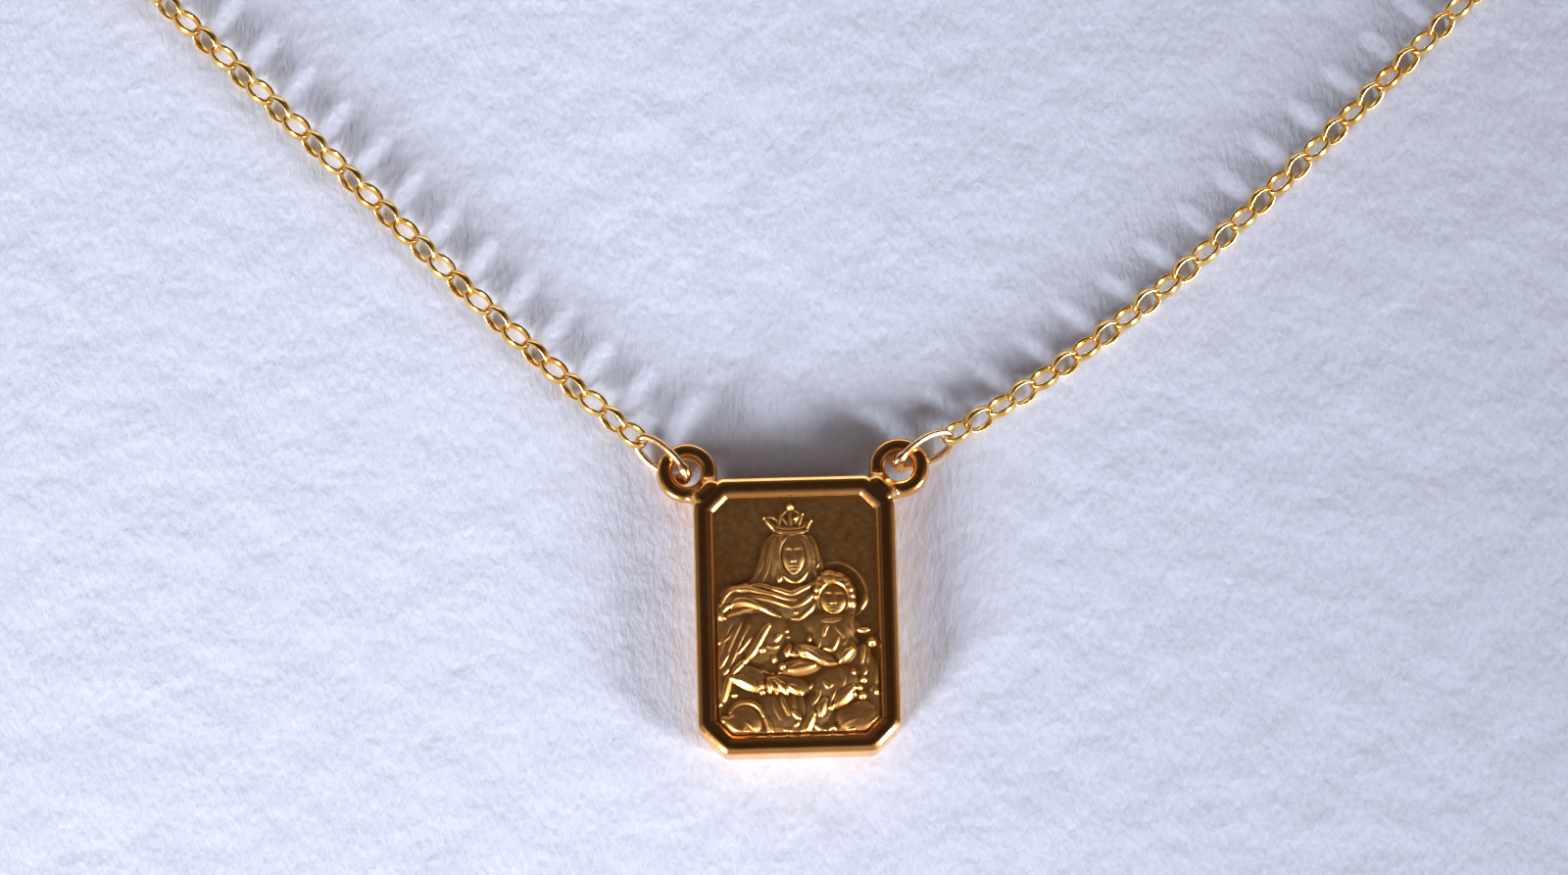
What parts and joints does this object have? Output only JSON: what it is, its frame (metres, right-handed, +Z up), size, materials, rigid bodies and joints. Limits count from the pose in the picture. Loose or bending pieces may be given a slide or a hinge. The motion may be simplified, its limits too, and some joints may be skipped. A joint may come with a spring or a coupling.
{
  "type": "medal necklace",
  "caption": "Belcher chain necklace of band links, closed by a ring clasp, with an octagonal relief medal held at two ring-shaped ears.",
  "frame": {"origin": "centre of the medal's flat back, on the surface that the necklace lies on", "axes": "+Z up out of the medal's face, +Y from the medal to the clasp across the loop, +X to the right seen from the front"},
  "size_m": [0.1382, 0.1705, 0.0022],
  "materials": {
    "gold_medal": "gold-plated, cast: grained field, polished rim and relief",
    "gold_chain": "gold-plated, bright polished band links",
    "gold_ring": "gold-plated, bright polished wire",
    "gold_clasp": "gold-plated, polished"
  },
  "bodies": {
    "root": {"medal": "gold_medal", "jump_ring_left": "gold_ring", "jump_ring_right": "gold_ring", "chain_left": "gold_chain", "chain_right": "gold_chain", "end_ring": "gold_ring", "clasp": "gold_clasp"}
  },
  "joints": []
}
